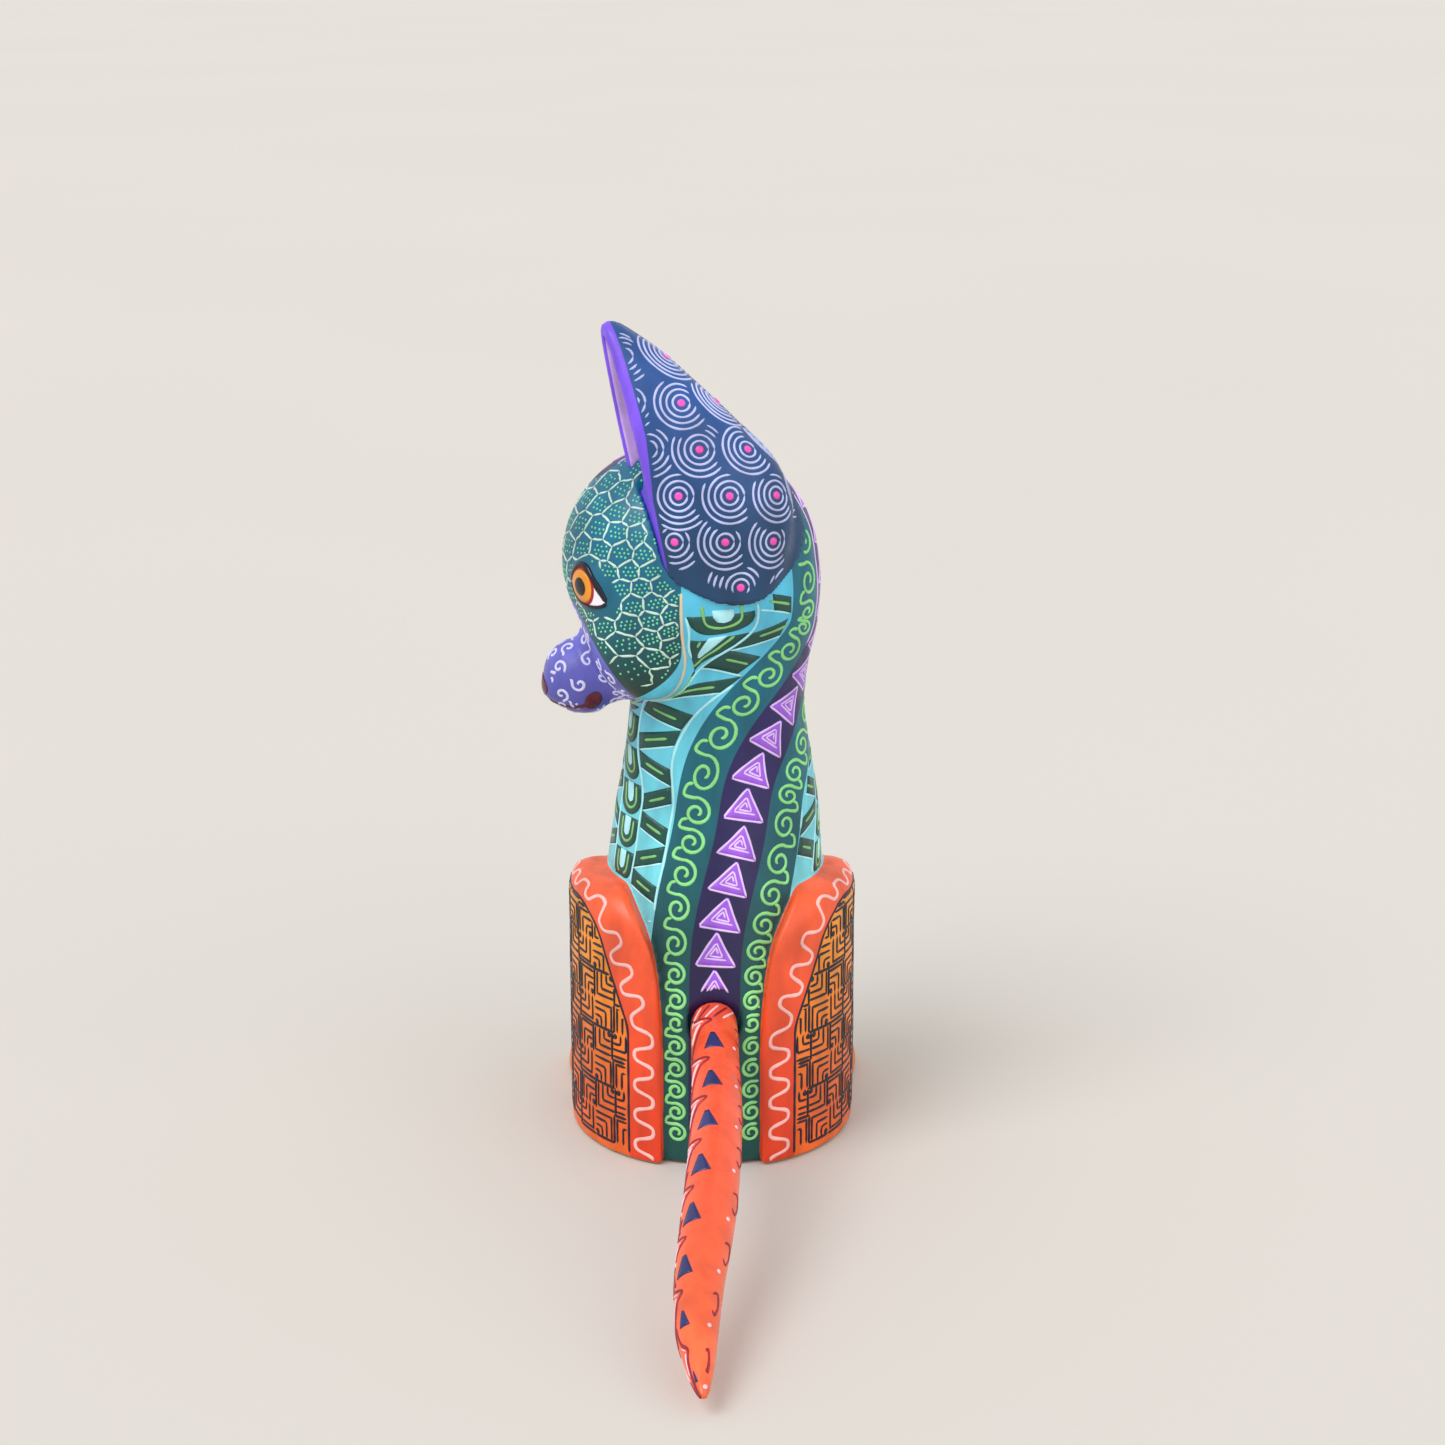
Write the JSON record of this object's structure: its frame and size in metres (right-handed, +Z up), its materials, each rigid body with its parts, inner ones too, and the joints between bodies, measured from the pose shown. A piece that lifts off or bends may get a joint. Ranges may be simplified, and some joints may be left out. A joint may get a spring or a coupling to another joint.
{
  "type": "carved wooden animal figure",
  "caption": "Seated carved wooden fox-like animal with its head turned, tall cupped ears pegged to flat seats and a straight tail that plugs into a socket and turns.",
  "frame": {"origin": "on the flat underside, below the middle of the body", "axes": "+Z up; the animal sits facing -Y, its tail lies along +Y, and its turned head looks along +X, its own left"},
  "size_m": [0.0541, 0.1297, 0.138],
  "materials": {
    "painted_body": "hand-painted acrylic in many colours over sanded copal wood, satin",
    "painted_ears": "hand-painted acrylic rings over sanded copal wood, violet rim, satin",
    "painted_tail": "hand-painted acrylic over sanded copal wood, satin gloss",
    "bare_wood": "unpainted whittled dowel"
  },
  "bodies": {
    "figure": {"carved_body": "painted_body", "ear_left": "painted_ears", "ear_right": "painted_ears", "ear_pins_left": "bare_wood", "ear_pins_right": "bare_wood"},
    "peg": {"tail_peg": "bare_wood"},
    "tail": {"tail": "painted_tail"}
  },
  "joints": [
    {"name": "tail_pull", "type": "slide", "parent": "figure", "child": "peg", "axis": [0, 0.9636, -0.2672], "range_m": [0, 0.0135]},
    {"name": "tail_twist", "type": "hinge", "parent": "peg", "child": "tail", "pos_m": [-0.0005, 0.016, 0.026], "axis": [0, 0.9636, -0.2672], "continuous": true}
  ]
}
